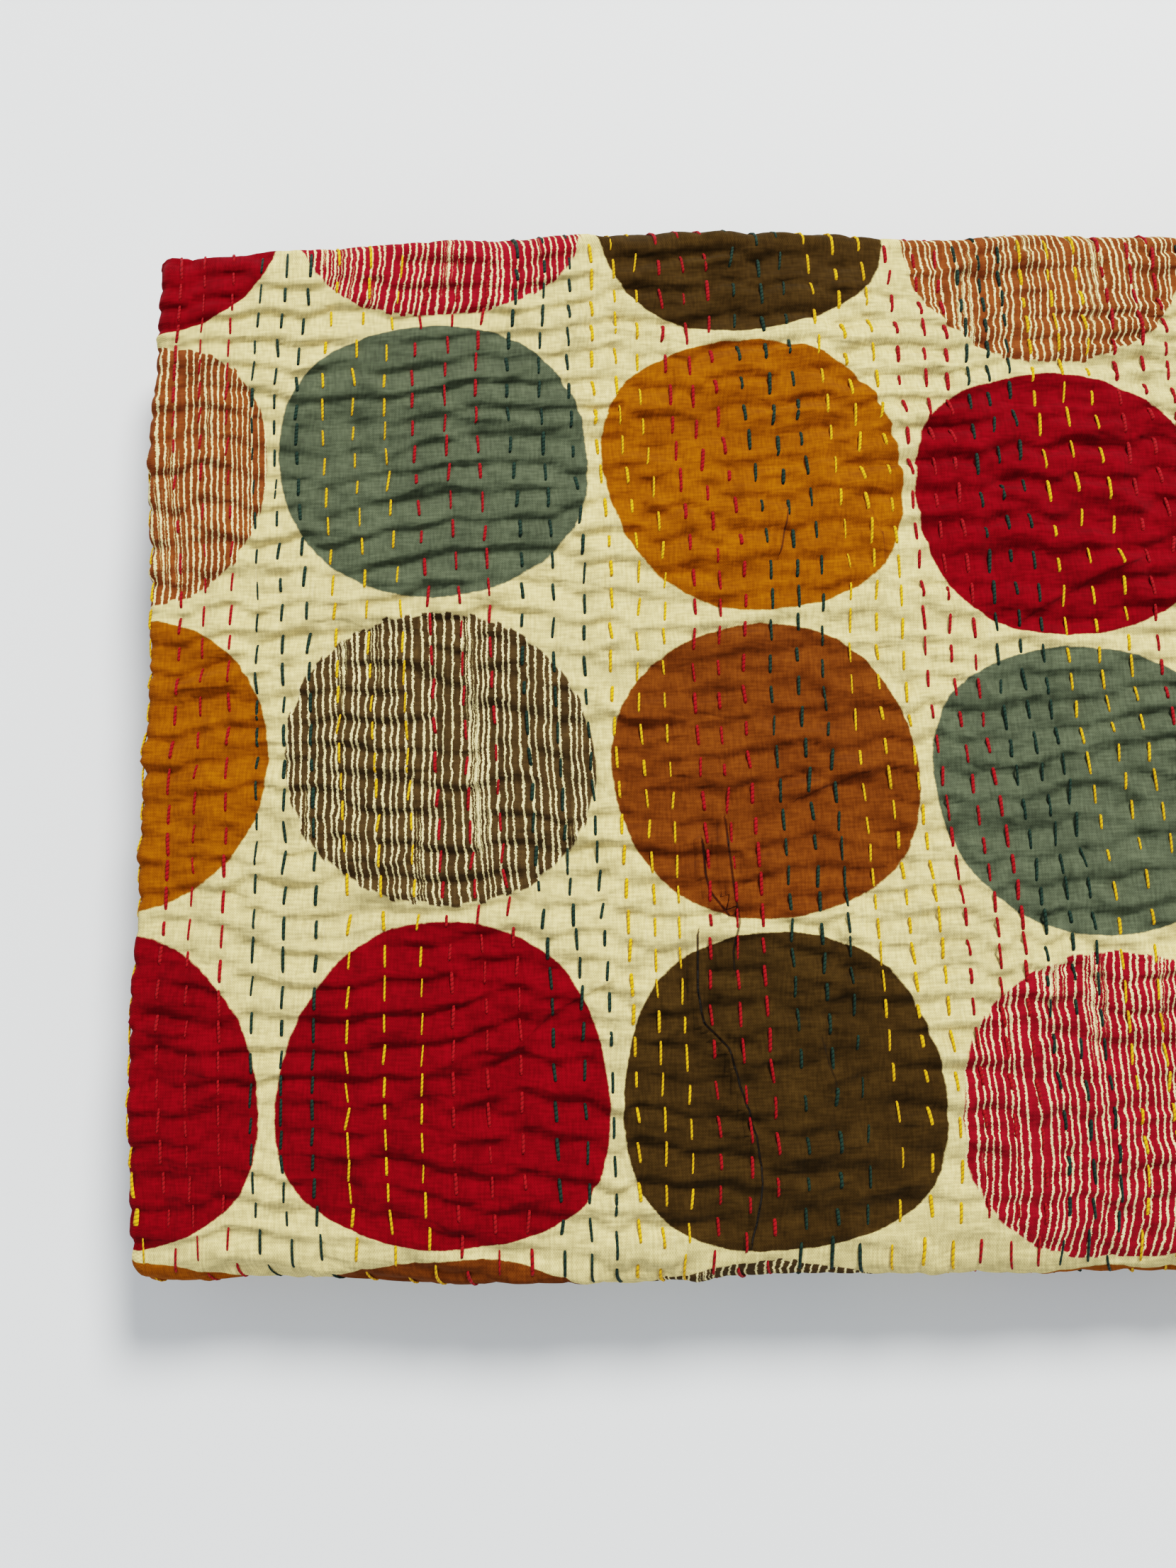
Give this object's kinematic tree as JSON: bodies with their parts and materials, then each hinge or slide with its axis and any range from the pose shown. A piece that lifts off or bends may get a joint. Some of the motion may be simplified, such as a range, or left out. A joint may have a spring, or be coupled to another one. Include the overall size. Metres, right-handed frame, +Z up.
{
  "type": "kantha quilt",
  "caption": "Cotton quilt with rows of running stitch and a large dot print, folded back and forth into a flat rectangular pile.",
  "frame": {"origin": "middle of the folded pile's footprint, on the surface that it lies on", "axes": "+Z up, +X across the cloth from the folded edge towards the hems, -Y towards the rolled front fold"},
  "size_m": [0.5094, 0.3802, 0.0594],
  "materials": {
    "quilted_cotton": "matt, soft, puckered cotton"
  },
  "bodies": {
    "root": {"quilt": "quilted_cotton"}
  },
  "joints": []
}
